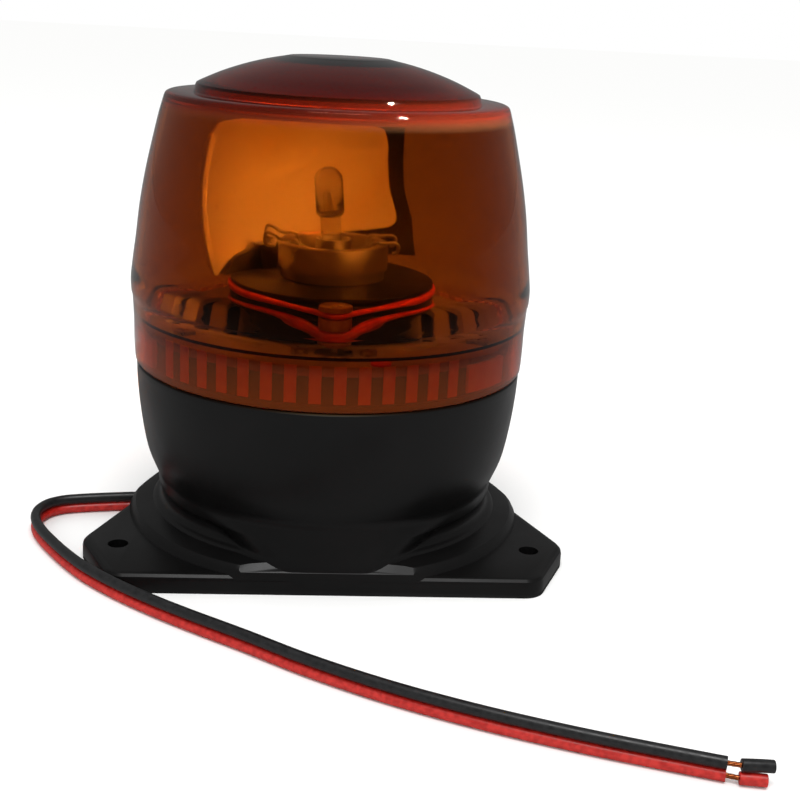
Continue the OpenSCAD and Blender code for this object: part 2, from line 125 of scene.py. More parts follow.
def bump_from(tree, shader, source, height_mm, strength):
    """Fine relief of that height from a pattern."""
    bump = add(tree, "ShaderNodeBump", inputs={
        "Height": source, "Strength": strength, "Distance": height_mm * MM})
    tree.links.new(bump.outputs["Normal"], shader.inputs["Normal"])


def vary(tree, source, low, high, start=0.3, end=0.7):
    """A number that goes from low to high as the pattern goes from start to end."""
    return add(tree, "ShaderNodeMapRange", inputs={
        "Value": source, "From Min": start, "From Max": end,
        "To Min": low, "To Max": high}).outputs["Result"]


def tint(tree, source, dark, light, start=0.35, end=0.65):
    """A colour between two hex colours, by a pattern."""
    ramp = add(tree, "ShaderNodeValToRGB", inputs={"Fac": source})
    ramp.color_ramp.elements[0].position, ramp.color_ramp.elements[1].position = start, end
    ramp.color_ramp.elements[0].color = linear(dark)
    ramp.color_ramp.elements[1].color = linear(light)
    return ramp.outputs["Color"]


# %% [markdown]
# Mesh helpers. Lathe turns a closed profile, tube follows a path, prism raises an outline. The
# numbers they take are millimetres, and the mesh they make is in metres at its real place, so no
# object is ever moved. Flow puts a smooth line through a few measured points of a profile.


# %% Helpers for meshes
def unit(v):
    return Vector(v).normalized()


def polar(r, degrees):
    return (r * math.cos(math.radians(degrees)), r * math.sin(math.radians(degrees)))


def flow(points, per=4):
    """Catmull-Rom line through points, with per steps between two of them."""
    p = [Vector(q) for q in points]
    last = len(p) - 1
    out = []
    for i in range(last):
        a, b, c, d = (p[min(max(i + k, 0), last)] for k in (-1, 0, 1, 2))
        for k in range(per):
            t = k / per
            out.append(0.5 * (2 * b + (c - a) * t + (2 * a - 5 * b + 4 * c - d) * t * t
                              + (3 * b - a - 3 * c + d) * t ** 3))
    return out + [p[-1]]


def make_object(name, verts, faces, material, smooth_below=35.0):
    """An object from millimetre points, welded, with normals outwards and smooth curved faces."""
    mesh = bpy.data.meshes.new(name)
    mesh.from_pydata([Vector(v) * MM for v in verts], [], faces)
    bm = bmesh.new()
    bm.from_mesh(mesh)
    bmesh.ops.remove_doubles(bm, verts=bm.verts, dist=0.002 * MM)
    bmesh.ops.recalc_face_normals(bm, faces=bm.faces)
    bm.to_mesh(mesh)
    bm.free()
    piece = bpy.data.objects.new(name, mesh)
    bpy.context.scene.collection.objects.link(piece)
    mesh.materials.append(material)
    smooth(piece, smooth_below)
    return piece


def smooth(piece, degrees):
    """Smooth shading, except over edges sharper than the angle."""
    mesh = piece.data
    mesh.shade_smooth()
    mesh.set_sharp_from_angle(angle=math.radians(degrees))


def lathe(profile, steps=192, start=0.0, sweep=360.0):
    """Points and faces of a closed (r, z) profile turned about the Z axis."""
    full = abs(sweep - 360) < 0.01
    rings = steps if full else steps + 1
    n = len(profile)
    verts = [(*polar(r, start + sweep * i / steps), z) for i in range(rings) for r, z in profile]
    faces = [(i * n + k, i * n + (k + 1) % n, (i + 1) % rings * n + (k + 1) % n,
              (i + 1) % rings * n + k) for i in range(steps) for k in range(n)]
    if not full:
        faces += [tuple(range(n))[::-1], tuple((rings - 1) * n + k for k in range(n))]
    return verts, faces


def prism(outline, low, high):
    """Points and faces of an outline raised from one height to another."""
    n = len(outline)
    verts = [(*p[:2], low) for p in outline] + [(*p[:2], high) for p in outline]
    faces = [(k, (k + 1) % n, n + (k + 1) % n, n + k) for k in range(n)]
    return verts, faces + [tuple(range(n))[::-1], tuple(range(n, 2 * n))]


def tube(path, r, sides=16, closed=False):
    """Points and faces of a round tube along a path, with the ring turned as little as it can."""
    p = [Vector(q) for q in path]
    n = len(p)
    verts, ahead = [], None
    for i in range(n):
        before, after = (p[i - 1], p[(i + 1) % n]) if closed else (p[max(i - 1, 0)],
                                                                  p[min(i + 1, n - 1)])
        along = unit(after - before)
        if ahead is None:
            side = unit(along.cross(Vector((0, 0, 1)) if abs(along.z) < 0.9 else Vector((1, 0, 0))))
        else:
            side = unit(side - along * side.dot(along))
        ahead = along
        up = side.cross(along)
        verts += [p[i] + r * (math.cos(2 * math.pi * k / sides) * side
                              + math.sin(2 * math.pi * k / sides) * up) for k in range(sides)]
    spans = n if closed else n - 1
    faces = [(i * sides + k, i * sides + (k + 1) % sides, (i + 1) % n * sides + (k + 1) % sides,
              (i + 1) % n * sides + k) for i in range(spans) for k in range(sides)]
    if not closed:
        faces += [tuple(range(sides))[::-1], tuple((n - 1) * sides + k for k in range(sides))]
    return verts, faces


def joined(*shapes):
    """One list of points and faces from several."""
    verts, faces = [], []
    for v, f in shapes:
        faces += [tuple(i + len(verts) for i in face) for face in f]
        verts += v
    return verts, faces


def apply_modifiers(piece):
    """Turn a piece and its live modifiers into a plain mesh."""
    seen = bpy.context.evaluated_depsgraph_get()
    done = bpy.data.meshes.new_from_object(piece.evaluated_get(seen))
    piece.modifiers.clear()
    piece.data = done
    return piece


def cut(piece, other, how="DIFFERENCE"):
    """Boolean of piece with another object, which is used up."""
    step = piece.modifiers.new("cut", "BOOLEAN")
    step.operation, step.object, step.solver = how, other, "EXACT"
    apply_modifiers(piece)
    bpy.data.objects.remove(other)
    return piece


def rounded_edges(piece, width_mm, segments=2, degrees=35.0):
    """Bevel the sharp edges, as a moulding or a pressing has them."""
    step = piece.modifiers.new("edges", "BEVEL")
    step.width, step.segments = width_mm * MM, segments
    step.limit_method, step.angle_limit = "ANGLE", math.radians(degrees)
    step.use_clamp_overlap, step.harden_normals = True, False
    return apply_modifiers(piece)


def stands_for(piece, body, slot, *names):
    """The piece rides on a body and replaces CAD nodes; slot is not used."""
    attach(piece, body)
    if names:
        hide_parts(*names)
    return piece


def refined(name, body, slot, material, edge_mm=0.0, degrees=35.0):
    """A welded, smoothly shaded copy of a CAD node, with small rounded edges."""
    mesh = nodes[name].data.copy()
    bm = bmesh.new()
    bm.from_mesh(mesh)
    bmesh.ops.remove_doubles(bm, verts=bm.verts, dist=0.002 * MM)
    bmesh.ops.dissolve_limit(bm, angle_limit=math.radians(0.5), verts=bm.verts, edges=bm.edges)
    bmesh.ops.triangulate(bm, faces=[f for f in bm.faces if len(f.verts) > 4])
    bm.to_mesh(mesh)
    bm.free()
    mesh.materials.clear()
    mesh.materials.append(material)
    piece = bpy.data.objects.new(name + "_shape", mesh)
    bpy.context.scene.collection.objects.link(piece)
    if edge_mm:
        rounded_edges(piece, edge_mm, 2, degrees)
    smooth(piece, degrees)
    return stands_for(piece, body, slot, name)


# %% [markdown]
# The cable is a flat twin: a red and a black core, each an insulated wire 2.8 mm thick, lying one
# above the other because the flat cable stands on its edge. It leaves through a notch in the
# foot's left side, turns back sharply and runs forward to its stripped end. PVC is soft and a
# little glossy. We follow the same route points as the solid model and smooth them.

# %% Cable
ROUTE = [(-44.3, 4.3), (-50, 4.3), (-56, 4.2), (-61, 3.6), (-66.4, 2.7), (-72, 1.6), (-76.6, 0.2),
         (-80.2, -2.6), (-82.1, -6.8), (-82.3, -11.2), (-81.3, -15.8), (-79.3, -20.6),
         (-76.2, -26.4), (-70.2, -36), (-62.9, -45.8), (-53.6, -55.4), (-43.9, -63.9),
         (-34.9, -71), (-26.9, -76.9), (-18.9, -82.8), (-7, -92), (4.5, -99.8), (15.4, -106.4),
         (25.9, -112), (36.2, -117), (46.2, -121.4), (56, -125.4), (65.8, -129.1),
         (75.4, -132.6), (80.2, -134.3)]
CORE_R = 1.38
RED_Z, BLACK_Z = 1.45, 4.35


def pvc(name, dark, light, roughness):
    """Extruded PVC: satin, with a soft grain about 0.5 mm across."""
    material, tree, shader = finish_named(name, light, roughness, IOR=1.53)
    grain = noise_in(tree, 0.8)
    tree.links.new(tint(tree, grain.outputs["Fac"], dark, light), shader.inputs["Base Color"])
    tree.links.new(vary(tree, grain.outputs["Fac"], roughness - 0.06, roughness + 0.1),
                   shader.inputs["Roughness"])
    bump_from(tree, shader, noise_in(tree, 2.5).outputs["Fac"], 0.03, 0.6)
    return material


RED_PVC = pvc("red_pvc_extruded", "#A3160F", "#C4231A", 0.34)
BLACK_PVC = pvc("black_pvc_extruded", "#151516", "#1F1F20", 0.36)


def core(name, z, material):
    """One insulated core, a tube along its own path."""
    path = flow([(x, y, z) for x, y in ROUTE], 6)
    piece = make_object(name, *tube(path, CORE_R, 24), material, 50)
    stands_for(piece, "base", name.replace("cable_", "") + "_pvc", name)


core("cable_red", RED_Z, RED_PVC)
core("cable_black", BLACK_Z, BLACK_PVC)

# %% [markdown]
# At the end both cores are stripped for about 3 mm, and a short length of cut insulation still
# sits on each wire. The wire itself is a twisted bundle of thin copper strands, so each bundle is
# seven fine helices, not one rod.

# %% Stripped ends
CUT = (80.2, -134.3)
BLACK_BARE, RED_BARE = (82.9, -135.1), (82.7, -135.3)
BLACK_END, RED_END = (89.7, -135.6), (88.3, -136.4)
STRAND_R, BUNDLE_R = 0.19, 0.38

copper, tree, shader = finish_named("copper_drawn", "#D9793F", 0.28, Metallic=1.0)
tree.links.new(tint(tree, noise_in(tree, 2).outputs["Fac"], "#A8552A", "#E58B52"),
               shader.inputs["Base Color"])


def bundle(a, b):
    """Seven twisted strands between two points."""
    a, b = Vector(a), Vector(b)
    along = unit(b - a)
    side = unit(along.cross(Vector((0, 0, 1))))
    up = side.cross(along)
    strands = [tube([a, b], STRAND_R, 10)]
    for k in range(6):
        turns = [a + (b - a) * (i / 8) + BUNDLE_R * (
            math.cos(k * math.pi / 3 + 0.28 * i) * side + math.sin(k * math.pi / 3 + 0.28 * i) * up)
            for i in range(9)]
        strands.append(tube(turns, STRAND_R, 10))
    return joined(*strands)


strands = make_object("copper_strand_bundles", *joined(
    bundle((*CUT, RED_Z), (*RED_BARE, RED_Z)), bundle((*CUT, BLACK_Z), (*BLACK_BARE, BLACK_Z))),
    copper, 60)
stands_for(strands, "base", "copper", "copper_strands")


def stub(name, a, b, drop, material, node):
    """Cut insulation: a short tube, slightly sagging, with softened ends."""
    a, b = Vector(a), Vector(b)
    middle = (a + b) / 2 + Vector((0, 0, drop))
    path = flow([a, middle, b], 5)
    piece = make_object(name, *tube(path, CORE_R, 24), material, 50)
    rounded_edges(piece, 0.18, 2, 50)
    return stands_for(piece, "base", node.replace("stub_", "") + "_pvc", node)


stub("insulation_end_red", (*RED_BARE, RED_Z), (*RED_END, RED_Z + 0.1), 0.05, RED_PVC, "stub_red")
stub("insulation_end_black", (*BLACK_BARE, BLACK_Z), (*BLACK_END, BLACK_Z), 0.05, BLACK_PVC,
     "stub_black")

# %% [markdown]
# The cover is injection-moulded amber acrylic, 2.2 mm thick: a barrel-shaped dome on a straight
# skirt, a flat rim and a domed lid. A lathe profile is the natural way to make it. The long
# curves go through measured points with a smooth line, and the steps stay crisp. The plastic is
# clear, and only the skirt and the rim are a little milky.

# %% Cover material
def lit_through(tree, shader, passed):
    """Let lamps and sky light what stands behind a clear surface."""
    path = add(tree, "ShaderNodeLightPath")
    straight = add(tree, "ShaderNodeBsdfTransparent", inputs={"Color": (passed,) * 3 + (1,)})
    mix = add(tree, "ShaderNodeMixShader", inputs={"Fac": path.outputs["Is Shadow Ray"]})
    tree.links.new(shader.outputs["BSDF"], mix.inputs[1])
    tree.links.new(straight.outputs["BSDF"], mix.inputs[2])
    tree.links.new(mix.outputs["Shader"], tree.nodes["Material Output"].inputs["Surface"])


AMBER_LOSS = (131.0, 315.0, 732.0)   # strength of absorption per metre, for red, green and blue
amber, tree, shader = finish_named("amber_acrylic_moulded", "#AC906C", 0.04, IOR=1.49,
                                   Transmission_Weight=1.0, Specular_Tint=(0.16, 0.1, 0.07, 1))
tree.links.new(vary(tree, noise_in(tree, 0.1, 4).outputs["Fac"], 0.024, 0.072),
               shader.inputs["Roughness"])
bump_from(tree, shader, noise_in(tree, 0.05, 2).outputs["Fac"], 0.05, 0.2)
density = max(AMBER_LOSS) * 1.02
depth = add(tree, "ShaderNodeVolumeAbsorption", inputs={
    "Color": [1 - v / density for v in AMBER_LOSS] + [1], "Density": density})
tree.links.new(depth.outputs["Volume"], tree.nodes["Material Output"].inputs["Volume"])
lit_through(tree, shader, 0.96)

# %% Cover colour by height
# The skirt is a little milky, and the rim and the lid are deeper red. Where the wall is seen
# edge-on its colour is painted darker, towards near-black: painted shade for the longer path
# through the plastic and painted reflection of dark surroundings in the wall.
place = add(tree, "ShaderNodeTexCoord")
height = add(tree, "ShaderNodeSeparateXYZ", inputs={"Vector": place.outputs["Object"]})
RAMP_LOW, RAMP_HIGH = 50, 140
share = add(tree, "ShaderNodeMapRange", inputs={
    "Value": height.outputs["Z"], "From Min": RAMP_LOW * MM, "From Max": RAMP_HIGH * MM})
ramp = add(tree, "ShaderNodeValToRGB", inputs={"Fac": share.outputs["Result"]})
milk = add(tree, "ShaderNodeValToRGB", inputs={"Fac": share.outputs["Result"]})
BANDS = [(51, "#D86C30", 0.9), (60, "#C86C38", 0.93), (63, "#B28A5C", 1.0),
         (119, "#AC8456", 1.0), (121.8, "#A8442A", 0.9), (123.9, "#983420", 0.93),
         (126.5, "#9C4426", 1.0), (135, "#8E3A20", 1.0)]
for elements, column in ((ramp.color_ramp.elements, 1), (milk.color_ramp.elements, 2)):
    for k, band in enumerate(BANDS):
        position = (band[0] - RAMP_LOW) / (RAMP_HIGH - RAMP_LOW)
        stop = elements[min(k, 1)] if k < 2 else elements.new(position)
        stop.position = position
        stop.color = linear(band[1]) if column == 1 else [band[2]] * 3 + [1]
# Painted shade: the colour darkens towards near-black where the wall is seen edge-on.
edge_on = add(tree, "ShaderNodeLayerWeight", inputs={"Blend": 0.3})
painted_edge_shade = add(tree, "ShaderNodeMix", {"data_type": "RGBA"}, {
    0: vary(tree, edge_on.outputs["Facing"], 0.0, 0.85, 0.55, 1.0)})
tree.links.new(ramp.outputs["Color"], painted_edge_shade.inputs[6])
painted_edge_shade.inputs[7].default_value = linear("#2A0C06")
tree.links.new(painted_edge_shade.outputs[2], shader.inputs["Base Color"])
tree.links.new(milk.outputs["Color"], shader.inputs["Transmission Weight"])

# %% Cover shape
outer = ([(54.35, 51.1), (54.75, 51.6)] + flow([(54.9, 53.7), (55, 58), (55.05, 63), (55.4, 69.4)], 3)
         + flow([(55.65, 70.2), (55.78, 71.6), (55.78, 74.1), (55.5, 76.6), (54.95, 80.8),
                 (54.3, 85.4), (53.2, 94.2), (51.65, 102.8), (49.7, 111.3), (48.1, 117.8),
                 (47.05, 121.4)], 4)
         + flow([(46.75, 122.4), (46.3, 123.3), (45.5, 123.72)], 3) + [(39.3, 123.72)]
         + flow([(39.0, 123.95), (38.6, 125.2), (38.2, 126.05)], 2)
         + flow([(37.4, 126.5), (32, 128.96), (26, 131.12), (20, 132.78), (14, 134.0)], 3)
         + [(13.6, 134.1), (0, 134.1)])
inner = ([(0, 132.0), (13.5, 131.95)] + flow([(20, 130.6), (28, 128.2), (36.3, 124.7)], 3)
         + [(37, 121.7), (44.5, 121.7)]
         + flow([(45.1, 121.0), (45.6, 119.4), (47.6, 111.3), (49.55, 102.8), (51.1, 94.2),
                 (52.2, 85.4), (53.5, 76.6)], 4)
         + flow([(53.5, 74), (53.45, 70), (53.2, 65.2)], 2) + [(52.3, 64.2), (52.2, 51.1)])
cover = make_object("amber_cover", *lathe([tuple(p) for p in outer + inner], 240), amber, 28)
print("cover faces:", len(cover.data.polygons))

# %% [markdown]
# Inside the skirt are 42 short upright ribs in three groups, with a locking pad in each gap
# between the groups. Ribs that repeat round a ring are work for Geometry Nodes: one rib is set on
# each point of an arc, and the three groups are three arcs. The ribs are the cover's clear amber
# acrylic, but their colour is painted light: pale and nearly opaque, for the light their moulded
# faces catch.

# %% Rib material
# Painted light: the clear amber ribs get a pale, nearly opaque colour for the light their faces catch.
rib_painted_lit, tree, shader = finish_named("amber_acrylic_ribs_painted_lit", "#FFCBA0", 0.3, IOR=1.49,
                                        Transmission_Weight=0.05, Specular_IOR_Level=0.35)
tree.links.new(tint(tree, noise_in(tree, 0.25).outputs["Fac"], "#F8B488", "#FFD8B0"),
               shader.inputs["Base Color"])


# %% Ribs set round a ring by Geometry Nodes
def ring_of(name, piece, material, count, start, step):
    """A tree that sets count copies of a piece round the Z axis, start and step in degrees."""
    tree = bpy.data.node_groups.new(name, "GeometryNodeTree")
    sockets = {}
    for label, kind, value in (("Count", "NodeSocketInt", count),
                               ("Start angle", "NodeSocketFloat", math.radians(start)),
                               ("Step angle", "NodeSocketFloat", math.radians(step))):
        socket = tree.interface.new_socket(label, in_out="INPUT", socket_type=kind)
        sockets[label] = (socket.identifier, value)
    tree.interface.new_socket("Geometry", in_out="OUTPUT", socket_type="NodeSocketGeometry")
    given = add(tree, "NodeGroupInput")
    points = add(tree, "GeometryNodePoints", inputs={"Count": given.outputs["Count"]})
    index = add(tree, "GeometryNodeInputIndex")
    angle = add(tree, "ShaderNodeMath", {"operation": "MULTIPLY_ADD"})
    tree.links.new(index.outputs["Index"], angle.inputs[0])
    tree.links.new(given.outputs["Step angle"], angle.inputs[1])
    tree.links.new(given.outputs["Start angle"], angle.inputs[2])
    turn = add(tree, "ShaderNodeCombineXYZ", inputs={"Z": angle.outputs["Value"]})
    shape = add(tree, "GeometryNodeObjectInfo", inputs={"Object": piece})
    placed = add(tree, "GeometryNodeInstanceOnPoints", inputs={
        "Points": points.outputs["Points"] if "Points" in points.outputs
        else points.outputs["Geometry"],
        "Instance": shape.outputs["Geometry"], "Rotation": turn.outputs["Vector"]})
    real = add(tree, "GeometryNodeRealizeInstances", inputs={"Geometry": placed.outputs[0]})
    painted = add(tree, "GeometryNodeSetMaterial", inputs={
        "Geometry": real.outputs["Geometry"], "Material": material})
    add(tree, "NodeGroupOutput", inputs={"Geometry": painted.outputs["Geometry"]})
    holder = bpy.data.objects.new(name, bpy.data.meshes.new(name))
    bpy.context.scene.collection.objects.link(holder)
    step_on = holder.modifiers.new(name, "NODES")
    step_on.node_group = tree
    for identifier, value in sockets.values():
        step_on[identifier] = value
    apply_modifiers(holder)
    print(name, "faces:", len(holder.data.polygons))
    return holder


def block(name, r0, r1, z0, z1, half_angle, material, edge_mm):
    """A piece of a ring, centred on the X axis, with rounded edges."""
    shape = lathe([(r0, z0), (r1, z0), (r1, z1), (r0, z1)], 6, -half_angle, 2 * half_angle)
    return rounded_edges(make_object(name, *shape, material, 30), edge_mm, 2, 40)


one_rib = block("one_rib", r0=51.9, r1=52.17, z0=52.9, z1=62.7, half_angle=1.7,
                material=rib_painted_lit, edge_mm=0.08)
rib_groups = [ring_of("rib_group_" + str(k), one_rib, rib_painted_lit, 14, start, 6.72)
              for k, start in enumerate((-142.3, -22.3, 97.7))]
pad = block("pad", r0=51.15, r1=52.17, z0=53, z1=60.4, half_angle=8.5,
            material=rib_painted_lit, edge_mm=0.15)
rib_groups.append(ring_of("pads", pad, rib_painted_lit, 3, -40.5, 120))
bpy.data.objects.remove(one_rib)
bpy.data.objects.remove(pad)


def merged(name, pieces, degrees=30):
    """One object from several of the same place and frame."""
    bm = bmesh.new()
    for piece in pieces:
        bm.from_mesh(piece.data)
    mesh = bpy.data.meshes.new(name)
    bm.to_mesh(mesh)
    bm.free()
    mesh.materials.append(pieces[0].data.materials[0])
    for piece in pieces:
        bpy.data.objects.remove(piece)
    whole = bpy.data.objects.new(name, mesh)
    bpy.context.scene.collection.objects.link(whole)
    smooth(whole, degrees)
    return whole


ribs = merged("cover_ribs", rib_groups)
stands_for(ribs, "lens", "amber_lens")
stands_for(cover, "lens", "amber_lens", "lens")

# %% [markdown]
# The housing is one black moulding, ABS with a fine matt texture. It is built like the real
# tool that cuts it: turned solids for the bowl, the neck and the low step round it, a plate with
# rounded corners and sloped edges for the foot, and cuts for the inside, the three bolt holes and
# the cable notch. Booleans keep the line where the round step is cut by the straight front.

# %% Black moulded plastic
def moulded(name, dark, light, roughness, grain_mm=0.35, relief=0.02, gloss=0.25):
    """Injection-moulded plastic with a fine texture and slight cloudiness in its gloss."""
    material, tree, shader = finish_named(name, light, roughness, IOR=1.5,
                                          Specular_IOR_Level=gloss)
    cloud = noise_in(tree, 0.05, 4)
    tree.links.new(tint(tree, cloud.outputs["Fac"], dark, light), shader.inputs["Base Color"])
    tree.links.new(vary(tree, cloud.outputs["Fac"], roughness - 0.05, roughness + 0.07),
                   shader.inputs["Roughness"])
    bump_from(tree, shader, noise_in(tree, 1 / grain_mm, 2).outputs["Fac"], relief, 0.5)
    return material


BLACK_ABS = moulded("black_abs_matt", "#0A0A0A", "#0E0D0D", 0.34, gloss=0.26)
BLACK_NYLON = moulded("black_nylon_satin", "#141414", "#1C1B1B", 0.36)

# %% Foot outline
FRONT = 51.66   # the foot's straight front face, in front of the axis
CORNERS = [((56.35, -FRONT), 6), ((66.96, -28.9), 8), ((28.5, 74), 9)]


def rounded_outline(corners, steps=10):
    """Outline points with each corner replaced by an arc."""
    count = len(corners)
    out = []
    for i in range(count):
        b, r = Vector(corners[i][0]), corners[i][1]
        u, v = unit(Vector(corners[i - 1][0]) - b), unit(Vector(corners[(i + 1) % count][0]) - b)
        half = u.angle(v) / 2
        centre = b + unit(u + v) * r / math.sin(half)
        first, last = b + u * r / math.tan(half) - centre, b + v * r / math.tan(half) - centre
        a0 = math.atan2(first.y, first.x)
        turn = (math.atan2(last.y, last.x) - a0 + 3 * math.pi) % (2 * math.pi) - math.pi
        out += [centre + Vector((math.cos(a0 + turn * k / steps), math.sin(a0 + turn * k / steps))) * r
                for k in range(steps + 1)]
    return out


foot = rounded_outline(CORNERS + [((-x, y), r) for (x, y), r in reversed(CORNERS)])
plate = make_object("housing", *prism(foot, 1, 5.3), BLACK_ABS)
top_edges = [e for e in plate.data.edges
             if all(plate.data.vertices[v].co.z > 5 * MM for v in e.vertices)]
bm = bmesh.new()
bm.from_mesh(plate.data)
bm.edges.ensure_lookup_table()
bmesh.ops.bevel(bm, geom=[bm.edges[e.index] for e in top_edges], offset=1.7 * MM, segments=3,
                profile=0.5, affect="EDGES", clamp_overlap=True)
bm.to_mesh(plate.data)
bm.free()

# %% Turned solids of the housing
STEP = [(0, 4), (56.9, 4), (56.9, 5.3), (56.5, 6), (56, 6.9), (55.1, 7.7), (53.8, 8.05),
        (50.2, 8.6), (0, 8.6)]
BOWL = ([(0, 2), (51.8, 2), (51.75, 3), (51.7, 4), (51.6, 5), (51.55, 5.8), (51.4, 6.6)]
        + flow([(50.6, 8.2), (49.6, 9.1), (48.3, 9.7), (47.6, 10.8), (47.45, 12.2), (47.7, 13.3),
                (48.3, 14.2), (48.5, 16), (48.7, 18), (49.7, 20.5), (51.4, 25), (52.5, 30),
                (53.5, 37), (54.15, 44), (54.38, 49.6)], 4)
        + [(54.3, 50.2), (53.9, 50.55), (50.8, 50.6), (50.8, 59.6), (0, 59.6)])
CAVITY = [(0, -1), (45.2, -1), (45.2, 12.5), (46.2, 14), (46.4, 17.5), (47.5, 21), (49.2, 25),
          (50.3, 30), (51.3, 37), (52, 45), (52.1, 48.3), (48.8, 48.4), (48.8, 61), (0, 61)]


def solid(name, shape):
    return make_object(name, *shape, BLACK_ABS, 30)


def box_shape(low, high):
    """Points and faces of a box from its lowest and highest corners."""
    (a, b, c), (d, e, f) = low, high
    return prism([(a, b), (d, b), (d, e), (a, e)], c, f)


SLOPE_Z = 6.3   # where the 45 degree slope over the front face starts
NECK_R, NECK_TOP, FLARE_TOP = 49.0, 20, 17


def front_radius(r, z, off):
    """The radius of a point on the neck, that many degrees off the front: flared there, then not."""
    whole, none = 9 + 1.2 * max(z - 6, 0), 22 + 2.6 * max(z - 6, 0)
    share = min(max((none - off) / (none - whole), 0), 1)
    share = share * share * (3 - 2 * share)
    face = FRONT / math.cos(math.radians(min(off, 40)))
    fall = min(max((FLARE_TOP - z) / (FLARE_TOP - SLOPE_Z), 0), 1) ** 1.5
    neck = r + (NECK_R - r) * min((NECK_TOP - z) / 4, 1)
    return r + (neck + (face - neck) * fall - r) * share


def bowl_shape(steps=288):
    """The bowl turned about Z, but at the front its neck runs straight into the foot's face."""
    rings = []
    for i in range(steps):
        degrees = 360 * i / steps - 90
        off = abs((degrees + 90 + 180) % 360 - 180)
        for r, z in BOWL:
            on_neck = r > 40 and z < NECK_TOP
            rings.append((*polar(front_radius(r, z, off) if on_neck else r, degrees), z))
    n = len(BOWL)
    faces = [(i * n + k, i * n + (k + 1) % n, (i + 1) % steps * n + (k + 1) % n,
              (i + 1) % steps * n + k) for i in range(steps) for k in range(n)]
    return rings, faces


def moved_out(piece, r, degrees):
    """Move a piece from the axis to its place on a circle."""
    x, y = polar(r, degrees)
    piece.data.transform(Matrix.Translation((x * MM, y * MM, 0)))
    return piece


step = cut(solid("step", lathe(STEP, 240)), solid("outline", prism(foot, 3, 12)), "INTERSECT")
slope = solid("slope", ([(-90, -FRONT - 20, SLOPE_Z - 20), (90, -FRONT - 20, SLOPE_Z - 20),
                         (90, -FRONT + 20, SLOPE_Z + 20), (-90, -FRONT + 20, SLOPE_Z + 20),
                         (-90, -FRONT - 40, SLOPE_Z + 20), (90, -FRONT - 40, SLOPE_Z + 20)],
                        [(0, 1, 2, 3), (3, 2, 5, 4), (0, 4, 5, 1), (0, 3, 4), (1, 5, 2)]))
cut(step, slope)
bowl = solid("bowl", bowl_shape())
keep = solid("keep", prism(foot, 0, 12.3))
above = solid("above", lathe([(0, 12.2), (60, 12.2), (60, 70), (0, 70)], 96))
cut(keep, above, "UNION")
cut(bowl, keep, "INTERSECT")
cut(plate, step, "UNION")
cut(plate, bowl, "UNION")
cut(plate, solid("cavity", lathe(CAVITY, 192)))
BOLT_CIRCLE_R, HOLE_R, BOSS_CIRCLE_R = 65, 2.75, 44
for degrees in (90, 210, 330):
    hole = solid("hole", lathe([(0, 0), (HOLE_R, 0), (HOLE_R, 10), (0, 10)], 48))
    cut(plate, moved_out(hole, BOLT_CIRCLE_R, degrees))
cut(plate, solid("notch", box_shape((-60, 2.6, -1), (-40, 6.0, 6.2))))
for degrees in (-27, -153, 90):
    boss = solid("boss", lathe([(1.5, 48), (5.2, 46), (5.2, 59.6), (1.5, 59.6)], 32))
    cut(plate, moved_out(boss, BOSS_CIRCLE_R, degrees), "UNION")
smooth(plate, 24)
housing = stands_for(plate, "base", "black_plastic", "base_housing")
housing.data.materials.clear()
housing.data.materials.append(BLACK_ABS)
print("housing faces:", len(housing.data.polygons))

# %% [markdown]
# Rubber parts: the flat gasket under the foot and the seal that the cover sits on. Both keep the
# solid model's shape, smoothly shaded. Rubber is dull, with a fine chalky bloom.

# %% Rubber
RUBBER = moulded("black_rubber_moulded", "#0E0E0E", "#161616", 0.62, 0.5, 0.03)
refined("base_gasket", "base", "rubber", RUBBER)
refined("lens_seal", "base", "rubber", RUBBER)

# %% [markdown]
# The deck closes the housing: a grey moulded plate with curved air slots. Some of its surface
# looks dusty. Its small edges are rounded, as on any moulding, and the seat of each screw is a
# square recess.

# %% Deck
GREY_ABS = moulded("grey_abs_matt", "#8E8C88", "#B2AFAA", 0.4, 0.4)
refined("deck_plate", "base", "grey_plastic", GREY_ABS, 0.2, 40)
ORANGE_PLUG = moulded("orange_plastic_plug", "#D8401A", "#FF5A1C", 0.3)
refined("deck_plug", "base", "orange_plastic", ORANGE_PLUG, 0.25, 40)


# %% Steel and plated finishes
def metal(name, dark, light, roughness, per_mm=0.6):
    """Bare or plated metal with faint blotches in its colour and gloss."""
    material, tree, shader = finish_named(name, light, roughness, Metallic=1.0)
    blot = noise_in(tree, per_mm)
    tree.links.new(tint(tree, blot.outputs["Fac"], dark, light), shader.inputs["Base Color"])
    tree.links.new(vary(tree, blot.outputs["Fac"], roughness - 0.04, roughness + 0.08),
                   shader.inputs["Roughness"])
    return material


STEEL = metal("steel_zinc_plated", "#8E8E90", "#B9B8B6", 0.3)
PLATED = metal("steel_bright_plated", "#9C9892", "#ABA7A1", 0.34, 0.08)
BRASS = metal("brass_sheet", "#A98446", "#C9A35C", 0.3)
FERRITE = moulded("ferrite_ground", "#2A2A2C", "#3A3A3C", 0.6)
WINDING = metal("copper_winding", "#8C4A22", "#B8682F", 0.45, 2)
TUNGSTEN = metal("tungsten_coil", "#6E6A66", "#8A8680", 0.4, 3)

# %% [markdown]
# The rotor is a black two-groove pulley with a carrier standing on it. It turns on the fixed stem
# and stays mostly in shade behind the belts, so the solid model's shape with small rounded edges
# is enough.

